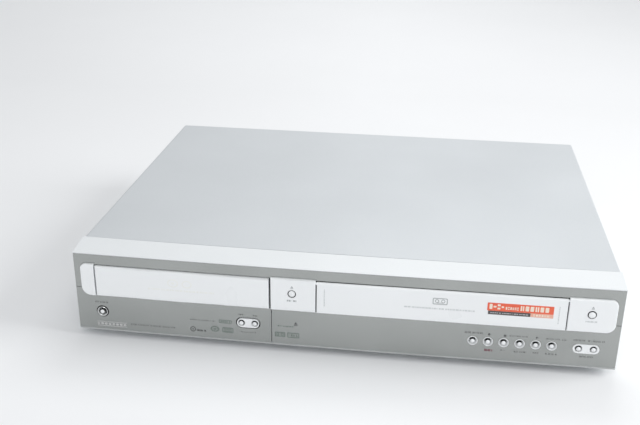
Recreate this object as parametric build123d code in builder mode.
from build123d import *
import math
import os

os.makedirs("parts", exist_ok=True)

# ---------------------------------------------------------------- overall size
WIDTH = 430.0          # across the front bezel
COVER_TOP = 78.5       # table to the top of the cover
BASE = 6.8             # table to the bezel's bottom edge
FACE_TOP = BASE + 69.0  # front edge of the bezel's sloped top
BEZEL_DEPTH = 25.0     # face to the seam between bezel and cover
COVER_REAR = 330.0     # face to the cover's rear edge
JACK_REAR = 338.6      # face to the ends of the aerial sockets
FACE_Y = -167.257     # the face's outer corners; the origin is under the middle of the whole

# ---------------------------------------------------------------- front shape
BOW = 2.1              # the face bulges forward this much at the middle
R_BOW = ((WIDTH / 2) ** 2 + BOW**2) / (2 * BOW)
PROUD = 2.0            # white band in front of the face plane
PANEL_FRONT = 0.4      # tinted panels behind the face plane
PANEL_BACK = 3.0
WALL_BACK = 5.0        # bezel's front wall, behind the tinted panels

BAND_LOW = BASE + 32.2
BAND_HIGH = BASE + 60.2
DISC_DOOR_X = (-197.0, -55.4)
DISC_DOOR_Z = (BASE + 32.5, BASE + 58.85)
BLOCK_X = (-54.0, -18.35)
TAPE_DOOR_X = (-17.3, 173.2)
TAPE_DOOR_Z = (BASE + 32.45, BASE + 59.15)
TAPE_DOOR_T = 3.0
LEFT_CAP_X = (-209.2, -198.0)
RIGHT_CAP_X = (174.15, 210.1)
PANEL_SPLIT_X = -53.7
SIDE_SEAM_Z = BASE + 38.3

BUTTON_Z = BASE + 17.3
FUNCTION_Z = BASE + 16.9
CHANNEL_Z = BASE + 16.45
POWER_X = -194.0
SEARCH_X = (-78.1, -67.3)
CHANNEL_X = (185.3, 196.6)
FUNCTION_X = (104.8, 116.6, 128.6, 140.8, 152.95, 165.1)
EJECT_Z = BASE + 47.6
DISC_EJECT_X = -37.0
TAPE_EJECT_X = 191.5
TRAVEL = 0.8           # button stroke
SMALL_R = 1.7
EJECT_R = 2.6
POWER_RING_R = 4.35
FUNCTION_RING_R = 3.95
LEFT_OVAL = (-81.7, -63.7, BASE + 13.35, BASE + 21.25)
RIGHT_OVAL = (180.9, 201.0, BASE + 12.55, BASE + 20.35)

SMALL_BUTTONS = (
    [(x, BUTTON_Z) for x in (POWER_X,) + SEARCH_X]
    + [(x, FUNCTION_Z) for x in FUNCTION_X]
    + [(x, CHANNEL_Z) for x in CHANNEL_X]
)

# ---------------------------------------------------------------- sheet metal
SHEET = 0.8
FLOOR_LOW = 8.0
FLOOR_TOP = 9.0

# ---------------------------------------------------------------- disc drive
DISC_X = -126.0
DISC_Y = 75.0
TRAY_X = (-194.0, -58.0)
TRAY_Z = (45.0, 50.0)
TRAY_END = 180.0
GEAR_MODULE = 1.0
RACK_X = -186.0
TRAY_TEETH = 24
PINION_TEETH = 12
GEAR_X, GEAR_Y = RACK_X + 12.0, 32.0
PULLEY_X = GEAR_X + 18.0
MOTOR_X = -116.0

# ---------------------------------------------------------------- tape deck
DECK_LOW, DECK_TOP = 24.0, 25.5
BAY_X = (-16.9, 172.9)
BAY_Y = (28.0, 130.0)
BAY_Z = (39.6, 65.8)
DRUM_X, DRUM_Y = 70.0, 226.0
DRUM_TILT = 5.0
CAPSTAN_X, CAPSTAN_Y = 138.0, 190.0
PINCH_X, PINCH_Y = 168.0, 214.0
REELS = ((32.0, 118.0), (124.0, 118.0))

# ---------------------------------------------------------------- rear
FAN_X, FAN_Z = -150.0, 44.0
INLET_X, INLET_Z = 167.0, 34.0
PHONO = [(x, z) for x in (-12.0, 6.0, 24.0, 42.0) for z in (30.0, 49.0)]
MINI = [(60.0, 30.0), (60.0, 49.0)]
AERIAL = [(104.0, 30.0), (104.0, 50.0)]


# Lengths along the depth are measured back from the face plane.
def block(x0, x1, y0, y1, z0, z1, mode=Mode.ADD):
    with Locations(((x0 + x1) / 2, FACE_Y + (y0 + y1) / 2, (z0 + z1) / 2)):
        Box(x1 - x0, y1 - y0, z1 - z0, mode=mode)


def post(x, y, z0, z1, r, mode=Mode.ADD):
    with Locations((x, FACE_Y + y, (z0 + z1) / 2)):
        Cylinder(r, z1 - z0, mode=mode)


def peg(x, z, y0, y1, r, mode=Mode.ADD):
    with Locations(Location((x, FACE_Y + (y0 + y1) / 2, z), (90, 0, 0))):
        Cylinder(r, y1 - y0, mode=mode)


def bar(y, z, x0, x1, r, mode=Mode.ADD):
    with Locations(Location(((x0 + x1) / 2, FACE_Y + y, z), (0, 90, 0))):
        Cylinder(r, x1 - x0, mode=mode)


def bow(x, back):
    """Depth, in the model's frame, of the bowed surface lying back behind the face."""
    return FACE_Y + back - BOW + R_BOW - math.sqrt(R_BOW**2 - x * x)


def bowed_slab(front, back, z0=-20.0, z1=120.0, mode=Mode.INTERSECT):
    """Keeps or removes what lies between two bowed surfaces."""
    with BuildSketch(Plane.XY.offset(z0)) as plan:
        with BuildLine():
            near = ThreePointArc((-224, bow(224, front)), (0, bow(0, front)), (224, bow(224, front)))
            far = ThreePointArc((-224, bow(224, back)), (0, bow(0, back)), (224, bow(224, back)))
            Line(near @ 0, far @ 0)
            Line(near @ 1, far @ 1)
        make_face()
    extrude(plan.sketch, amount=z1 - z0, mode=mode)


def front_plate(x0, x1, z0, z1, y0, y1, lb=0, lt=0, rb=0, rt=0, mode=Mode.ADD):
    """Rectangle seen from the front, with its own radius at each corner."""
    with BuildSketch(Plane.XZ.offset(-(FACE_Y + y1))) as outline:
        with Locations(((x0 + x1) / 2, (z0 + z1) / 2)):
            Rectangle(x1 - x0, z1 - z0)
        for side, level, radius in ((0, 0, lb), (0, -1, lt), (-1, 0, rb), (-1, -1, rt)):
            if radius:
                fillet(outline.vertices().group_by(Axis.X)[side].sort_by(Axis.Y)[level], radius)
    extrude(outline.sketch, amount=y1 - y0, mode=mode)


def front_slot(x0, x1, z0, z1, y0, y1, mode=Mode.ADD):
    """Slot with round ends seen from the front."""
    with BuildSketch(Plane.XZ.offset(-(FACE_Y + y1))) as outline:
        with Locations(((x0 + x1) / 2, (z0 + z1) / 2)):
            SlotOverall(x1 - x0, z1 - z0)
    extrude(outline.sketch, amount=y1 - y0, mode=mode)


def turned(x, z, points):
    """Solid turned about a line along the depth: points are (radius, depth) pairs."""
    spin = Plane(origin=(x, FACE_Y, z), x_dir=(1, 0, 0), z_dir=(0, 0, -1))
    with BuildSketch(spin) as profile:
        with BuildLine():
            Polyline(*[(r, -y) for r, y in points], close=True)
        make_face()
    revolve(profile.sketch, axis=Axis((x, FACE_Y, z), (0, 1, 0)))


def button(x, z, r, tip, dome, tail=7.4):
    """Domed cap, stem and stop flange. The flange sits behind the bezel's front wall."""
    stop = bow(x, WALL_BACK) - FACE_Y + 0.3
    big = (r * r + dome * dome) / (2 * dome)
    cap = [(r * k / 6, tip + big - math.sqrt(big * big - (r * k / 6) ** 2)) for k in range(7)]
    turned(x, z, cap + [(r, stop), (r + 0.9, stop), (r + 0.9, stop + 1.0), (1.4, stop + 1.0), (1.4, tail), (0, tail)])


def ring(x, z, outer, inner, lip, back, dish=1.6, rim=0.45):
    """Ring with a narrow rim, dished deeply towards its hole."""
    turned(x, z, [(outer - 0.2, lip), (outer, lip + 0.2), (outer, back), (inner, back), (inner, lip + dish),
                  (outer - rim, lip)])


def gear_points(teeth, turn=0.0, slack=0.15):
    """Outline of a spur gear of module 1, with flanks in three straight steps."""
    pitch = teeth * GEAR_MODULE / 2
    half = math.pi / 4 - slack
    steps = ((pitch - 1.15, half + 0.34), (pitch, half), (pitch + 0.8, half - 0.30))
    outline = []
    for k in range(teeth):
        middle = math.radians(turn) + 2 * math.pi * k / teeth
        for radius, width in steps:
            outline.append((radius * math.cos(middle - width / radius), radius * math.sin(middle - width / radius)))
        for radius, width in reversed(steps):
            outline.append((radius * math.cos(middle + width / radius), radius * math.sin(middle + width / radius)))
    return outline


def gear(x, y, z0, z1, teeth, turn=0.0):
    with BuildSketch(Plane(origin=(x, FACE_Y + y, z0))) as outline:
        with BuildLine():
            Polyline(*gear_points(teeth, turn), close=True)
        make_face()
    extrude(outline.sketch, amount=z1 - z0)


def finish(piece, label):
    piece.part.label = label
    export_step(piece.part, f"parts/{label}.step")


# ================================================================= casing
# Cover: a sheet folded into a U, with a narrow lip folded down at the rear.
with BuildPart() as top_cover:
    with BuildSketch(Plane.XZ.offset(-(FACE_Y + COVER_REAR))) as fold:
        with Locations((0, (11.0 + COVER_TOP) / 2)):
            Rectangle(WIDTH - 1.2, COVER_TOP - 11.0)
        fillet(fold.vertices().group_by(Axis.Y)[-1], 2.6)
        with BuildSketch(mode=Mode.SUBTRACT) as core:
            with Locations((0, (0.0 + COVER_TOP - SHEET) / 2)):
                Rectangle(WIDTH - 1.2 - 2 * SHEET, COVER_TOP - SHEET)
            fillet(core.vertices().group_by(Axis.Y)[-1], 1.8)
    extrude(amount=COVER_REAR - 20.0)
    block(-213.0, 213.0, COVER_REAR - SHEET, COVER_REAR, COVER_TOP - 9.0, COVER_TOP - 0.4)
    block(-214.2, -207.0, COVER_REAR - SHEET, COVER_REAR, 11.0, COVER_TOP - 3.0)
    block(207.0, 214.2, COVER_REAR - SHEET, COVER_REAR, 11.0, COVER_TOP - 3.0)
    bowed_slab(-20.0, BEZEL_DEPTH + 0.15, mode=Mode.SUBTRACT)
finish(top_cover, "top_cover")

# Bottom pan: flat floor with turned-up edges and rows of air slots.
with BuildPart() as bottom_chassis:
    block(-212.4, 212.4, 7.6, 326.9, FLOOR_LOW, FLOOR_TOP)
    block(-212.4, -211.4, 27.0, 326.9, FLOOR_LOW, 24.0)
    block(211.4, 212.4, 27.0, 326.9, FLOOR_LOW, 24.0)
    block(-211.4, 211.4, 7.6, 8.6, FLOOR_LOW, 11.0)
    with Locations((-90, FACE_Y + 250, FLOOR_LOW), (90, FACE_Y + 250, FLOOR_LOW), (-90, FACE_Y + 110, FLOOR_LOW)):
        with GridLocations(8, 32, 9, 2):
            Box(3, 24, 4, mode=Mode.SUBTRACT)
finish(bottom_chassis, "bottom_chassis")

# Rear panel: sheet with holes for the fan, the sockets and the mains inlet.
with BuildPart() as rear_panel:
    block(-213.0, 213.0, 327.5, 328.5, 9.2, COVER_TOP - 1.5)
    with BuildSketch(Plane.XZ.offset(-(FACE_Y + 328.5))):
        with Locations((FAN_X, FAN_Z)):
            with GridLocations(6.0, 6.0, 5, 5):
                Circle(2.3)
        with Locations(*PHONO):
            Circle(4.9)
        with Locations(*MINI):
            Circle(5.4)
        with Locations(*AERIAL):
            Circle(5.2)
        with Locations((INLET_X, INLET_Z)):
            Rectangle(23.0, 15.0)
    extrude(amount=1.0, mode=Mode.SUBTRACT)
finish(rear_panel, "rear_panel")

# Space behind the bezel's front wall, following the slope of the shelf.
with BuildPart() as bezel_hollow:
    with BuildSketch(Plane.YZ.offset(-WIDTH / 2 + 2.2)):
        with BuildLine():
            Polyline(
                (FACE_Y, FACE_TOP - 2.4),
                (FACE_Y + BEZEL_DEPTH + 1.0, COVER_TOP - 2.3),
                (FACE_Y + BEZEL_DEPTH + 1.0, BASE + 1.2),
                (FACE_Y, BASE + 1.2),
                close=True,
            )
        make_face()
    extrude(amount=WIDTH - 4.4)
    bowed_slab(WALL_BACK, 60.0)

# Room for the panels and the white band, under a thin front lip.
with BuildPart() as bezel_recess:
    block(-220, 220, -20, 20, BASE + 0.9, FACE_TOP - 0.7)
    bowed_slab(-20.0, PANEL_BACK)

# Ledge that carries a cassette from the mouth to the carriage.
with BuildPart() as mouth_ledge:
    block(-18.6, 174.6, 1.0, 26.0, BASE + 30.2, BASE + 31.8)
    bowed_slab(PANEL_BACK, 60.0)

# Moulded front: sloped top shelf, cheeks, floor lip and the wall behind the tinted panels.
with BuildPart() as front_bezel:
    with BuildSketch(Plane.YZ.offset(-WIDTH / 2)):
        with BuildLine():
            Polyline(
                (FACE_Y - 4.0, FACE_TOP - 0.425),
                (FACE_Y + BEZEL_DEPTH, COVER_TOP),
                (FACE_Y + BEZEL_DEPTH, BASE),
                (FACE_Y - 4.0, BASE),
                close=True,
            )
        make_face()
    extrude(amount=WIDTH)
    bowed_slab(0.0, BEZEL_DEPTH)
    add(bezel_hollow.part, mode=Mode.SUBTRACT)
    add(bezel_recess.part, mode=Mode.SUBTRACT)
    block(TRAY_X[0] - 1.4, TRAY_X[1] + 1.4, -5, 12, 43.2, 64.0, Mode.SUBTRACT)
    block(RACK_X - 5.0, RACK_X + 1.8, -5, 12, 40.2, 44.0, Mode.SUBTRACT)
    block(-17.9, 173.9, -5, 12, BASE + 31.8, BASE + 60.5, Mode.SUBTRACT)
    for x in (-9.0, 25.5, 60.0):
        block(x, x + 33.0, -5, 12, 14.0, 34.0, Mode.SUBTRACT)
    with BuildSketch(Plane.XZ.offset(-(FACE_Y + 12))):
        with Locations(*SMALL_BUTTONS):
            Circle(SMALL_R + 0.35)
        with Locations((DISC_EJECT_X, EJECT_Z), (TAPE_EJECT_X, EJECT_Z)):
            Circle(EJECT_R + 0.35)
    extrude(amount=20, mode=Mode.SUBTRACT)
    add(mouth_ledge.part)
finish(front_bezel, "front_bezel")


# Tinted half-mirror panels.
def band_room():
    front_plate(-209.45, 210.35, BAND_LOW, BAND_HIGH + 0.1, -10, 10, 7.7, 4.7, 7.2, 5.2, Mode.SUBTRACT)


with BuildPart() as upper_mirror_panel:
    block(-214.8, 214.8, -6, 6, SIDE_SEAM_Z + 0.15, FACE_TOP - 1.05)
    band_room()
    block(-197.85, -54.15, -6, 6, BASE + 59.55, BASE + 61.0)
    block(-18.2, 174.0, -6, 6, BASE + 59.6, BASE + 61.0)
    bowed_slab(PANEL_FRONT, PANEL_BACK - 0.02)
finish(upper_mirror_panel, "upper_mirror_panel")

with BuildPart() as lower_left_panel:
    block(-214.8, PANEL_SPLIT_X - 0.35, -6, 6, BASE + 1.0, SIDE_SEAM_Z - 0.15)
    band_room()
    bowed_slab(PANEL_FRONT, PANEL_BACK - 0.02)
    peg(POWER_X, BUTTON_Z, -10, 10, POWER_RING_R + 0.85, Mode.SUBTRACT)
    front_slot(LEFT_OVAL[0] - 0.95, LEFT_OVAL[1] + 0.95, LEFT_OVAL[2] - 0.95, LEFT_OVAL[3] + 0.95, -10, 10, Mode.SUBTRACT)
finish(lower_left_panel, "lower_left_panel")

with BuildPart() as lower_right_panel:
    block(PANEL_SPLIT_X + 0.35, 214.8, -6, 6, BASE + 1.0, SIDE_SEAM_Z - 0.15)
    band_room()
    bowed_slab(PANEL_FRONT, PANEL_BACK - 0.02)
    for x in FUNCTION_X:
        peg(x, FUNCTION_Z, -10, 10, FUNCTION_RING_R + 0.15, Mode.SUBTRACT)
    front_slot(RIGHT_OVAL[0] - 0.15, RIGHT_OVAL[1] + 0.15, RIGHT_OVAL[2] - 0.15, RIGHT_OVAL[3] + 0.15, -10, 10, Mode.SUBTRACT)
finish(lower_right_panel, "lower_right_panel")

# Cassette flap axis: a straight line between the flap's ends, near its front top edge.
TAPE_A = (TAPE_DOOR_X[0], bow(TAPE_DOOR_X[0], -PROUD))
TAPE_B = (TAPE_DOOR_X[1], bow(TAPE_DOOR_X[1], -PROUD))
FLAP_TURN = math.degrees(math.atan2(TAPE_B[1] - TAPE_A[1], TAPE_B[0] - TAPE_A[0]))
FLAP_LEN = math.hypot(TAPE_B[0] - TAPE_A[0], TAPE_B[1] - TAPE_A[1])
FLAP_PLANE = Plane(
    origin=(TAPE_A[0], TAPE_A[1], 0),
    x_dir=(math.cos(math.radians(FLAP_TURN)), math.sin(math.radians(FLAP_TURN)), 0),
    z_dir=(0, 0, 1),
)
AXIS_BACK = TAPE_DOOR_T / 2
AXIS_Z = TAPE_DOOR_Z[1] - AXIS_BACK


def flap_axis_rod(s0, s1, r, mode=Mode.ADD):
    """Rod on the flap's axis; s runs along the flap from its left end."""
    middle = FLAP_PLANE.from_local_coords((((s0 + s1) / 2), AXIS_BACK, AXIS_Z))
    with Locations(Location((middle.X, middle.Y, middle.Z), (0, 90, FLAP_TURN))):
        Cylinder(r, s1 - s0, mode=mode)


# White band pieces.
with BuildPart() as left_end_cap:
    front_plate(LEFT_CAP_X[0], LEFT_CAP_X[1], BASE + 32.4, BASE + 60.2, -8, 8, 7.5, 4.5)
    bowed_slab(-PROUD, PANEL_BACK)
    fillet(left_end_cap.faces().sort_by(Axis.Y)[0].edges(), 0.8)
finish(left_end_cap, "left_end_cap")

with BuildPart() as centre_block:
    front_plate(BLOCK_X[0], BLOCK_X[1], BASE + 32.5, BASE + 60.2, -8, 8)
    bowed_slab(-PROUD, PANEL_BACK)
    fillet(centre_block.faces().sort_by(Axis.Y)[0].edges(), 0.8)
    peg(DISC_EJECT_X, EJECT_Z, -10, 10, EJECT_R + 0.85, Mode.SUBTRACT)
    flap_axis_rod(-6.0, 2.0, 1.06, Mode.SUBTRACT)
finish(centre_block, "centre_block")

with BuildPart() as right_end_cap:
    front_plate(RIGHT_CAP_X[0], RIGHT_CAP_X[1], BASE + 32.4, BASE + 60.2, -8, 8, 0, 0, 7.0, 5.0)
    bowed_slab(-PROUD, PANEL_BACK)
    fillet(right_end_cap.faces().sort_by(Axis.Y)[0].edges(), 0.8)
    peg(TAPE_EJECT_X, EJECT_Z, -10, 10, EJECT_R + 0.85, Mode.SUBTRACT)
    flap_axis_rod(FLAP_LEN - 2.0, FLAP_LEN + 6.0, 1.06, Mode.SUBTRACT)
finish(right_end_cap, "right_end_cap")

# Four moulded feet.
with BuildPart() as feet:
    for x in (-165.0, 165.0):
        for y in (50.0, 285.0):
            with Locations((x, FACE_Y + y, FLOOR_LOW / 2)):
                Cone(15.0, 17.0, FLOOR_LOW)
    bottom_ring = feet.faces().filter_by(Axis.Z).group_by(Axis.Z)[0].edges()
    fillet(bottom_ring, 0.8)
finish(feet, "feet")

# Screw heads of the cover: two on each side and three at the rear, and four on the rear panel.
with BuildPart() as case_screws:
    for side in (-1, 1):
        for y in (70.0, 270.0):
            bar(y, 20.0, *sorted((side * 214.4, side * 214.95)), 3.2)
    for x in (-180.0, 0.0, 180.0):
        peg(x, COVER_TOP - 5.0, COVER_REAR, COVER_REAR + 1.3, 3.0)
    for x, z in ((-200.0, 14.0), (-60.0, 14.0), (84.0, 14.0), (200.0, 14.0)):
        peg(x, z, 328.5, 329.8, 2.8)
    fillet(case_screws.edges().filter_by(GeomType.CIRCLE).filter_by(
        lambda e: abs(e.center().Y - (FACE_Y + COVER_REAR + 1.3)) < 0.01 or abs(e.center().Y - (FACE_Y + 329.8)) < 0.01), 0.5)
finish(case_screws, "case_screws")

# ================================================================= surrounds and buttons
with BuildPart() as power_ring:
    ring(POWER_X, BUTTON_Z, POWER_RING_R, SMALL_R + 0.85, bow(POWER_X, -0.5) - FACE_Y, bow(POWER_X, PANEL_BACK) - FACE_Y - 0.1)
finish(power_ring, "power_ring")

with BuildPart() as oval_surrounds:
    for (x0, x1, z0, z1), pair, level in ((LEFT_OVAL, SEARCH_X, BUTTON_Z), (RIGHT_OVAL, CHANNEL_X, CHANNEL_Z)):
        middle = (x0 + x1) / 2
        lip = bow(middle, -0.2) - FACE_Y
        front_slot(x0, x1, z0, z1, lip, bow(min(abs(x0), abs(x1)), PANEL_BACK) - FACE_Y - 0.1)
        for x in pair:
            peg(x, level, -10, 10, SMALL_R + 0.65, Mode.SUBTRACT)
            with Locations(Location((x, FACE_Y + lip + 0.6, level), (90, 0, 0))):
                Cone(SMALL_R + 0.65, SMALL_R + 1.3, 1.4, mode=Mode.SUBTRACT)
finish(oval_surrounds, "oval_surrounds")

with BuildPart() as function_button_rings:
    for x in FUNCTION_X:
        ring(x, FUNCTION_Z, FUNCTION_RING_R, SMALL_R + 0.85, bow(x, 0.1) - FACE_Y, bow(x, PANEL_BACK) - FACE_Y - 0.1)
finish(function_button_rings, "function_button_rings")

with BuildPart() as power_button:
    button(POWER_X, BUTTON_Z, SMALL_R, bow(POWER_X, -1.4) - FACE_Y, 0.8)
finish(power_button, "power_button")

with BuildPart() as skip_back_button:
    button(SEARCH_X[0], BUTTON_Z, SMALL_R, bow(SEARCH_X[0], -1.1) - FACE_Y, 0.7)
finish(skip_back_button, "skip_back_button")

with BuildPart() as skip_ahead_button:
    button(SEARCH_X[1], BUTTON_Z, SMALL_R, bow(SEARCH_X[1], -1.1) - FACE_Y, 0.7)
finish(skip_ahead_button, "skip_ahead_button")

with BuildPart() as disc_eject_button:
    button(DISC_EJECT_X, EJECT_Z, EJECT_R, bow(DISC_EJECT_X, -2.05) - FACE_Y, 0.5)
finish(disc_eject_button, "disc_eject_button")

with BuildPart() as tape_eject_button:
    button(TAPE_EJECT_X, EJECT_Z, EJECT_R, bow(TAPE_EJECT_X, -3.0) - FACE_Y, 0.6)
finish(tape_eject_button, "tape_eject_button")

with BuildPart() as source_button:
    button(FUNCTION_X[0], FUNCTION_Z, SMALL_R, bow(FUNCTION_X[0], -0.8) - FACE_Y, 0.7)
finish(source_button, "source_button")

with BuildPart() as record_button:
    button(FUNCTION_X[1], FUNCTION_Z, SMALL_R, bow(FUNCTION_X[1], -0.8) - FACE_Y, 0.7)
finish(record_button, "record_button")

with BuildPart() as stop_button:
    button(FUNCTION_X[2], FUNCTION_Z, SMALL_R, bow(FUNCTION_X[2], -0.8) - FACE_Y, 0.7)
finish(stop_button, "stop_button")

with BuildPart() as rewind_button:
    button(FUNCTION_X[3], FUNCTION_Z, SMALL_R, bow(FUNCTION_X[3], -0.8) - FACE_Y, 0.7)
finish(rewind_button, "rewind_button")

with BuildPart() as play_button:
    button(FUNCTION_X[4], FUNCTION_Z, SMALL_R, bow(FUNCTION_X[4], -0.8) - FACE_Y, 0.7)
finish(play_button, "play_button")

with BuildPart() as forward_button:
    button(FUNCTION_X[5], FUNCTION_Z, SMALL_R, bow(FUNCTION_X[5], -0.8) - FACE_Y, 0.7)
finish(forward_button, "forward_button")

with BuildPart() as channel_down_button:
    button(CHANNEL_X[0], CHANNEL_Z, SMALL_R, bow(CHANNEL_X[0], -1.1) - FACE_Y, 0.7)
finish(channel_down_button, "channel_down_button")

with BuildPart() as channel_up_button:
    button(CHANNEL_X[1], CHANNEL_Z, SMALL_R, bow(CHANNEL_X[1], -1.1) - FACE_Y, 0.7)
finish(channel_up_button, "channel_up_button")

# ================================================================= doors
# Front plate of the disc tray, with a flat back that meets the tray.
with BuildPart() as disc_tray_door:
    front_plate(DISC_DOOR_X[0], DISC_DOOR_X[1], DISC_DOOR_Z[0], DISC_DOOR_Z[1], -8, 0.6)
    bowed_slab(-PROUD, 20.0)
    fillet(disc_tray_door.faces().sort_by(Axis.Y)[0].edges(), 1.0)
finish(disc_tray_door, "disc_tray_door")

# Cassette flap: round top edge about its axis, pins at both ends.
with BuildPart() as cassette_door:
    with BuildSketch(Plane(origin=FLAP_PLANE.origin, x_dir=FLAP_PLANE.y_dir, z_dir=FLAP_PLANE.x_dir)) as section:
        with Locations((AXIS_BACK, (TAPE_DOOR_Z[0] + AXIS_Z) / 2)):
            Rectangle(TAPE_DOOR_T, AXIS_Z - TAPE_DOOR_Z[0])
        with Locations((AXIS_BACK, AXIS_Z)):
            Circle(TAPE_DOOR_T / 2)
    extrude(amount=FLAP_LEN)
    fillet(cassette_door.edges().group_by(Axis.Z)[0].filter_by(lambda e: e.length > 100), 0.7)
    flap_axis_rod(-3.6, 2.0, 1.0)
    flap_axis_rod(FLAP_LEN - 2.0, FLAP_LEN + 3.6, 1.0)
finish(cassette_door, "cassette_door")

# ================================================================= disc drive
with BuildPart() as drive_chassis:
    block(-203.0, -49.0, 16.0, 205.0, 20.0, 22.0)
    block(-203.0, -201.0, 16.0, 205.0, 20.0, 60.0)
    block(-51.0, -49.0, 16.0, 205.0, 20.0, 60.0)
    block(-203.0, -49.0, 203.0, 205.0, 20.0, 60.0)
    # ledges under the tray and lips over its edges
    block(-201.0, -191.2, 16.0, 203.0, 42.5, 44.7)
    block(-62.0, -51.0, 16.0, 203.0, 42.5, 44.7)
    block(-201.0, -191.0, 16.0, 203.0, 50.4, 52.4)
    block(-61.0, -51.0, 16.0, 203.0, 50.4, 52.4)
    for x in (-196.0, -56.0):
        for y in (26.0, 195.0):
            post(x, y, FLOOR_TOP, 20.0, 4.0)
    # gear axles
    post(GEAR_X, GEAR_Y, 22.0, 40.6, 2.4)
    post(GEAR_X, GEAR_Y, 40.6, 44.4, 2.0)
    post(PULLEY_X, GEAR_Y, 22.0, 36.0, 4.0)
    post(PULLEY_X, GEAR_Y, 36.0, 44.4, 2.0)
    # lugs for the traverse
    block(-168.0, -163.4, 171.0, 181.0, 22.0, 36.0)
    block(-88.6, -84.0, 171.0, 181.0, 22.0, 36.0)
    bar(176.0, 31.75, -170.0, -82.0, 1.56, Mode.SUBTRACT)
finish(drive_chassis, "drive_chassis")

# Sliding tray: disc wells, an open slot for turntable and pickup, and a rack below its left edge.
with BuildPart() as disc_tray:
    block(TRAY_X[0], TRAY_X[1], 0.6, TRAY_END, TRAY_Z[0], TRAY_Z[1])
    block(TRAY_X[0] + 1.0, TRAY_X[1] - 1.0, 0.6, 3.4, TRAY_Z[0], 62.0)
    post(DISC_X, DISC_Y, 47.6, 54.0, 60.6, Mode.SUBTRACT)
    post(DISC_X, DISC_Y, 46.4, 54.0, 41.0, Mode.SUBTRACT)
    post(DISC_X, DISC_Y, 40.0, 54.0, 19.5, Mode.SUBTRACT)
    block(DISC_X - 19.5, DISC_X + 19.5, DISC_Y, TRAY_END + 2, 40.0, 54.0, Mode.SUBTRACT)
    with BuildSketch(Plane(origin=(RACK_X, FACE_Y + GEAR_Y, 41.2))):
        with BuildLine():
            pitch = math.pi * GEAR_MODULE
            half = pitch / 4 - 0.15
            rack = [(-4.0, -2.5 * pitch)]
            for k in range(-2, 47):
                middle = (k + 0.5) * pitch
                rack += [(-1.15, middle - half - 0.40), (0.8, middle - half + 0.29),
                         (0.8, middle + half - 0.29), (-1.15, middle + half + 0.40)]
            rack += [(-4.0, 47.0 * pitch)]
            rack.insert(1, (-1.15, -2.5 * pitch))
            rack.insert(-1, (-1.15, 47.0 * pitch))
            Polyline(*rack, close=True)
        make_face()
    extrude(amount=TRAY_Z[0] - 41.2)
finish(disc_tray, "disc_tray")

with BuildPart() as tray_gear:
    gear(GEAR_X, GEAR_Y, 41.0, 44.4, TRAY_TEETH)
    post(GEAR_X, GEAR_Y, 40.0, 46.0, 2.06, Mode.SUBTRACT)
finish(tray_gear, "tray_gear")

with BuildPart() as pulley_gear:
    gear(PULLEY_X, GEAR_Y, 40.2, 44.4, PINION_TEETH, 180 / PINION_TEETH)
    post(PULLEY_X, GEAR_Y, 36.4, 40.2, 13.7)
    post(PULLEY_X, GEAR_Y, 30.0, 46.0, 2.06, Mode.SUBTRACT)
finish(pulley_gear, "pulley_gear")

with BuildPart() as loading_motor:
    post(MOTOR_X, GEAR_Y, 22.0, 35.6, 11.0)
    fillet(loading_motor.edges().group_by(Axis.Z)[-1], 1.0)
    post(MOTOR_X, GEAR_Y, 28.0, 40.0, 1.06, Mode.SUBTRACT)
finish(loading_motor, "loading_motor")

with BuildPart() as motor_pulley:
    post(MOTOR_X, GEAR_Y, 28.4, 40.2, 1.0)
    post(MOTOR_X, GEAR_Y, 36.4, 40.2, 3.7)
finish(motor_pulley, "motor_pulley")

# Belt round the two pulleys.
with BuildPart() as loading_belt:
    with BuildSketch(Plane.XY.offset(37.5)):
        with BuildSketch():
            with Locations((PULLEY_X, FACE_Y + GEAR_Y)):
                Circle(15.2)
            with Locations((MOTOR_X, FACE_Y + GEAR_Y)):
                Circle(5.2)
            make_hull()
        with BuildSketch(mode=Mode.SUBTRACT):
            with Locations((PULLEY_X, FACE_Y + GEAR_Y)):
                Circle(14.0)
            with Locations((MOTOR_X, FACE_Y + GEAR_Y)):
                Circle(4.0)
            make_hull()
    extrude(amount=1.6)
finish(loading_belt, "loading_belt")

with BuildPart() as clamp_bridge:
    block(-203.0, -49.0, 56.0, 94.0, 60.0, 61.5)
    block(-203.0, -49.0, 56.0, 57.2, 61.5, 64.0)
    block(-203.0, -49.0, 92.8, 94.0, 61.5, 64.0)
    post(DISC_X, DISC_Y, 58.0, 66.0, 9.2, Mode.SUBTRACT)
finish(clamp_bridge, "clamp_bridge")

with BuildPart() as clamp_puck:
    post(DISC_X, DISC_Y, 54.2, 57.2, 15.5)
    fillet(clamp_puck.edges(), 0.8)
    post(DISC_X, DISC_Y, 57.2, 61.7, 8.6)
    post(DISC_X, DISC_Y, 61.7, 63.6, 12.5)
    post(DISC_X, DISC_Y, 53.0, 56.6, 7.8, Mode.SUBTRACT)
finish(clamp_puck, "clamp_puck")

# Tilting sub-frame with the spindle motor's body and the ends of the guide rods.
with BuildPart() as traverse:
    block(-162.0, -90.0, 56.0, 178.0, 31.0, 32.5)
    block(-146.0, -106.0, 92.0, 160.0, 30.0, 33.5, Mode.SUBTRACT)
    bar(176.0, 31.75, -167.4, -161.0, 1.5)
    bar(176.0, 31.75, -91.0, -84.6, 1.5)
    post(DISC_X, DISC_Y, 32.5, 42.8, 13.5)
    post(DISC_X, DISC_Y, 34.0, 46.0, 1.56, Mode.SUBTRACT)
    for x in (-152.0, -100.0):
        for y in (86.0, 168.0):
            block(x - 3.0, x + 3.0, y - 2.0, y + 2.0, 32.5, 40.0)
        peg(x, 37.0, 80.0, 174.0, 1.5, Mode.SUBTRACT)
finish(traverse, "traverse")

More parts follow.
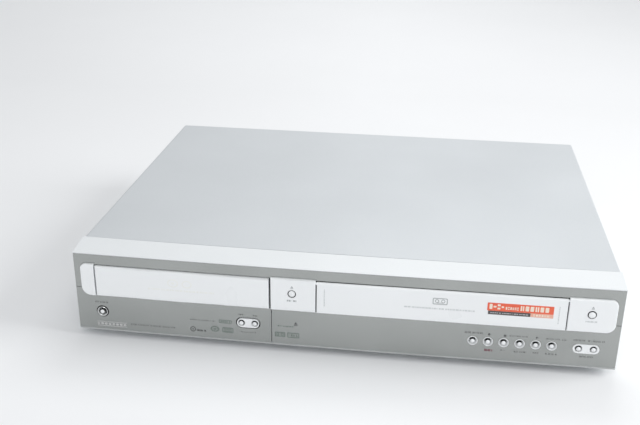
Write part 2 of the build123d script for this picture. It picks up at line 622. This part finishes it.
with BuildPart() as turntable:
    post(DISC_X, DISC_Y, 34.6, 44.0, 1.5)
    post(DISC_X, DISC_Y, 43.4, 50.3, 14.3)
    fillet(turntable.edges().filter_by(GeomType.CIRCLE).group_by(Axis.Z)[-1], 0.6)
    with Locations((DISC_X, FACE_Y + DISC_Y, 51.65)):
        Cone(7.3, 5.6, 2.7)
finish(turntable, "turntable")

with BuildPart() as guide_rods:
    for x in (-152.0, -100.0):
        peg(x, 37.0, 84.6, 169.4, 1.5)
finish(guide_rods, "guide_rods")

with BuildPart() as pickup_sled:
    block(-149.0, -103.0, 98.0, 124.0, 33.6, 42.6)
    block(-155.5, -149.0, 98.0, 124.0, 34.0, 40.0)
    block(-103.0, -96.5, 104.0, 116.0, 34.0, 40.0)
    block(-146.0, -106.0, 104.0, 118.0, 30.0, 38.0, Mode.SUBTRACT)
    peg(-152.0, 37.0, 90.0, 130.0, 1.56, Mode.SUBTRACT)
    peg(-100.0, 37.0, 90.0, 130.0, 1.56, Mode.SUBTRACT)
    post(DISC_X, 105.0, 42.6, 43.4, 4.6)
    post(DISC_X, 105.0, 43.4, 44.2, 2.8)
finish(pickup_sled, "pickup_sled")

# ================================================================= tape deck
with BuildPart() as deck_plate:
    block(-22.0, 182.0, 30.0, 272.0, DECK_LOW, DECK_TOP)
    for x0, x1 in ((-22.0, -20.8), (176.8, 178.0)):
        block(x0, x1, 32.0, 164.0, DECK_TOP, 68.0)
        for y in (44.0, 106.0):
            block(x0 - 1, x1 + 1, y - 2.0, y + 48.0, 50.2, 53.8, Mode.SUBTRACT)
    for x in (-16.0, 174.0):
        for y in (38.0, 264.0):
            post(x, y, FLOOR_TOP, DECK_LOW, 4.0)
    # reel spindles, pinch arm post, capstan bearing and fixed tape guides
    for x, y in REELS:
        post(x, y, DECK_TOP, 36.4, 2.0)
    post(PINCH_X, PINCH_Y, DECK_TOP, 40.4, 4.5)
    post(PINCH_X, PINCH_Y, 40.4, 45.0, 2.5)
    post(CAPSTAN_X, CAPSTAN_Y, 20.0, 34.0, 5.0)
    post(CAPSTAN_X, CAPSTAN_Y, 10.0, 40.0, 1.56, Mode.SUBTRACT)
    for x, y in ((10.0, 188.0), (26.0, 192.0), (112.0, 196.0)):
        post(x, y, DECK_TOP, 57.0, 2.6)
        post(x, y, DECK_TOP, 30.0, 4.4)
        post(x, y, 57.0, 58.6, 4.2)
finish(deck_plate, "deck_plate")

# Cassette carriage: folded sleeve, open at the front, with windows and guide pins.
with BuildPart() as cassette_carriage:
    block(BAY_X[0] - 0.8, BAY_X[1] + 0.8, BAY_Y[0], BAY_Y[1], BAY_Z[0] - 0.8, BAY_Z[1] + 0.8)
    block(BAY_X[0], BAY_X[1], BAY_Y[0] - 1, BAY_Y[1] - 0.8, BAY_Z[0], BAY_Z[1], Mode.SUBTRACT)
    for x in (12.0, 104.0):
        block(x, x + 40.0, 60.0, 124.0, BAY_Z[0] - 2, BAY_Z[0] + 1, Mode.SUBTRACT)
        block(x, x + 40.0, 50.0, 112.0, BAY_Z[1] - 1, BAY_Z[1] + 2, Mode.SUBTRACT)
    block(BAY_X[0] + 8, BAY_X[1] - 8, BAY_Y[1] - 2, BAY_Y[1] + 1, BAY_Z[0] + 4, BAY_Z[0] + 10, Mode.SUBTRACT)
    for y in (46.0, 108.0):
        bar(y, 52.0, -22.6, BAY_X[0] - 0.4, 1.4)
        bar(y, 52.0, BAY_X[1] + 0.4, 178.6, 1.4)
finish(cassette_carriage, "cassette_carriage")

DRUM = Plane(origin=(DRUM_X, FACE_Y + DRUM_Y, 29.0), x_dir=(1, 0, 0),
             z_dir=(0, math.sin(math.radians(DRUM_TILT)), math.cos(math.radians(DRUM_TILT))))

with BuildPart() as drum_base:
    with BuildSketch(DRUM):
        Circle(31.0)
    extrude(amount=14.0)
    post(DRUM_X, DRUM_Y, DECK_TOP, 34.0, 25.0)
    with BuildSketch(DRUM):
        Circle(3.06)
    extrude(amount=30.0, mode=Mode.SUBTRACT)
finish(drum_base, "drum_base")

with BuildPart() as head_drum:
    with BuildSketch(DRUM.offset(14.5)):
        Circle(31.0)
    extrude(amount=16.0)
    fillet(head_drum.faces().sort_by(Axis.Z)[-1].edges(), 0.8)
    with BuildSketch(DRUM.offset(1.0)):
        Circle(3.0)
    extrude(amount=14.0)
    with BuildSketch(DRUM.offset(30.5)):
        Circle(9.0)
    extrude(amount=3.0)
finish(head_drum, "head_drum")

with BuildPart() as capstan:
    post(CAPSTAN_X, CAPSTAN_Y, 12.6, 56.0, 1.5)
    post(CAPSTAN_X, CAPSTAN_Y, 12.6, 19.4, 24.0)
    fillet(capstan.edges().filter_by(GeomType.CIRCLE).filter_by(lambda e: abs(e.radius - 24.0) < 0.1), 0.8)
finish(capstan, "capstan")

for (x, y), label in zip(REELS, ("supply_reel", "takeup_reel")):
    with BuildPart() as reel:
        post(x, y, 26.0, 29.0, 17.0)
        fillet(reel.edges(), 0.6)
        post(x, y, 29.0, 36.0, 8.6)
        for k in range(3):
            a = math.radians(30 + 120 * k)
            with Locations(Location((x + 9.2 * math.cos(a), FACE_Y + y + 9.2 * math.sin(a), 32.2), (0, 0, 30 + 120 * k))):
                Box(2.6, 1.8, 6.4)
        post(x, y, 25.0, 40.0, 2.06, Mode.SUBTRACT)
    finish(reel, label)

# Pinch roller and its swinging arm, shown lifted off the capstan.
ARM_ANGLE = 243.0
ROLL_X = PINCH_X + 30.4 * math.cos(math.radians(ARM_ANGLE))
ROLL_Y = PINCH_Y + 30.4 * math.sin(math.radians(ARM_ANGLE))
with BuildPart() as pinch_arm:
    with BuildSketch(Plane(origin=(PINCH_X, FACE_Y + PINCH_Y, 40.8), x_dir=(math.cos(math.radians(ARM_ANGLE)), math.sin(math.radians(ARM_ANGLE)), 0), z_dir=(0, 0, 1))):
        with Locations((15.2, 0)):
            SlotCenterToCenter(30.4, 9.0)
    extrude(amount=3.0)
    post(ROLL_X, ROLL_Y, 43.8, 60.0, 1.6)
    post(ROLL_X, ROLL_Y, 59.0, 60.4, 3.4)
    post(PINCH_X, PINCH_Y, 39.0, 46.0, 2.56, Mode.SUBTRACT)
finish(pinch_arm, "pinch_arm")

with BuildPart() as pinch_roller:
    post(ROLL_X, ROLL_Y, 44.6, 58.6, 7.0)
    fillet(pinch_roller.edges(), 0.5)
    post(ROLL_X, ROLL_Y, 40.0, 64.0, 1.66, Mode.SUBTRACT)
finish(pinch_roller, "pinch_roller")

# ================================================================= electronics
# Front board with a switch behind each button.
with BuildPart() as front_board:
    block(-205.0, 205.0, 12.0, 13.6, 10.4, 36.2)
    block(-47.0, -28.0, 12.0, 13.6, 36.2, 62.0)
    block(181.0, 201.0, 12.0, 13.6, 36.2, 62.0)
    for x, z in SMALL_BUTTONS + [(DISC_EJECT_X, EJECT_Z), (TAPE_EJECT_X, EJECT_Z)]:
        block(x - 3.0, x + 3.0, 9.2, 12.0, z - 3.0, z + 3.0)
        peg(x, z, 8.5, 9.2, 1.7)
finish(front_board, "front_board")

with BuildPart() as display_module:
    block(-13.0, 97.0, 6.8, 11.9, 12.2, 35.8)
    fillet(display_module.edges().filter_by(Axis.Y), 1.0)
    block(-6.0, 90.0, 5.8, 6.8, 15.0, 33.0)
finish(display_module, "display_module")

with BuildPart() as main_board:
    block(-100.0, -26.0, 212.0, 322.0, 19.4, 21.0)
    for x in (-95.0, -31.0):
        for y in (217.0, 317.0):
            post(x, y, FLOOR_TOP, 19.4, 2.5)
    block(-80.0, -52.0, 240.0, 268.0, 21.0, 23.6)
    block(-90.0, -78.0, 288.0, 308.0, 21.0, 23.0)
    block(-66.0, -54.0, 288.0, 308.0, 21.0, 23.0)
    for x in (-42.0, -34.0):
        for y in (230.0, 240.0, 262.0):
            post(x, y, 21.0, 31.0, 3.0)
finish(main_board, "main_board")

with BuildPart() as power_board:
    block(-206.0, -108.0, 212.0, 312.0, 19.4, 21.0)
    for x in (-201.0, -113.0):
        for y in (217.0, 307.0):
            post(x, y, FLOOR_TOP, 19.4, 2.5)
    block(-196.0, -162.0, 226.0, 256.0, 21.0, 49.0)
    block(-150.0, -147.0, 226.0, 290.0, 21.0, 56.0)
    for k in range(5):
        block(-147.0, -139.0, 228.0 + 14 * k, 230.0 + 14 * k, 21.0, 56.0)
    post(-122.0, 236.0, 21.0, 46.0, 9.0)
    post(-122.0, 258.0, 21.0, 41.0, 7.0)
    post(-180.0, 276.0, 21.0, 43.0, 6.5)
finish(power_board, "power_board")

# ================================================================= rear
with BuildPart() as rear_jacks:
    block(-22.0, 70.0, 314.0, 327.4, 20.0, 60.0)
    for x, z in PHONO:
        peg(x, z, 327.4, 336.6, 4.3)
        peg(x, z, 322.0, 340.0, 1.7, Mode.SUBTRACT)
    for x, z in MINI:
        peg(x, z, 327.4, 330.0, 5.0)
        peg(x, z, 322.0, 332.0, 3.6, Mode.SUBTRACT)
        peg(x, z, 320.0, 325.5, 1.4)
    block(88.0, 120.0, 290.0, 327.4, 20.0, 62.0)
    for x, z in AERIAL:
        peg(x, z, 327.4, JACK_REAR, 4.7)
        peg(x, z, 322.0, 340.0, 2.8, Mode.SUBTRACT)
        peg(x, z, 320.0, 332.0, 0.8)
finish(rear_jacks, "rear_jacks")

with BuildPart() as mains_inlet:
    block(INLET_X - 11.0, INLET_X + 11.0, 308.0, 331.0, INLET_Z - 7.0, INLET_Z + 7.0)
    block(INLET_X - 14.0, INLET_X + 14.0, 328.5, 330.2, INLET_Z - 9.5, INLET_Z + 9.5)
    front_slot(INLET_X - 8.2, INLET_X + 8.2, INLET_Z - 4.4, INLET_Z + 4.4, 316.0, 332.0, Mode.SUBTRACT)
    for x in (INLET_X - 4.4, INLET_X + 4.4):
        peg(x, INLET_Z, 315.5, 328.0, 1.2)
finish(mains_inlet, "mains_inlet")

# Cooling fan: square frame with a round duct, and a bladed rotor.
with BuildPart() as fan_frame:
    block(FAN_X - 20.0, FAN_X + 20.0, 317.3, 327.3, FAN_Z - 20.0, FAN_Z + 20.0)
    fillet(fan_frame.edges().filter_by(Axis.Y), 3.0)
    peg(FAN_X, FAN_Z, 310, 335, 18.6, Mode.SUBTRACT)
    peg(FAN_X, FAN_Z, 317.3, 318.8, 9.0)
    for turn in (0, 90, 45, 135):
        with Locations(Location((FAN_X, FACE_Y + 318.05, FAN_Z), (0, turn, 0))):
            Box(38.0, 1.5, 2.2)
    peg(FAN_X, FAN_Z, 318.8, 325.0, 1.5)
finish(fan_frame, "fan_frame")

with BuildPart() as fan_rotor:
    peg(FAN_X, FAN_Z, 319.4, 326.6, 8.5)
    for k in range(7):
        a = math.radians(360 / 7 * k)
        with Locations(Location((FAN_X + 12.9 * math.cos(a), FACE_Y + 323.0, FAN_Z + 12.9 * math.sin(a)), (0, -360 / 7 * k, 0))):
            with Locations(Location((0, 0, 0), (38, 0, 0))):
                Box(10.0, 1.0, 7.6)
    peg(FAN_X, FAN_Z, 317.0, 325.4, 1.6, Mode.SUBTRACT)
finish(fan_rotor, "fan_rotor")
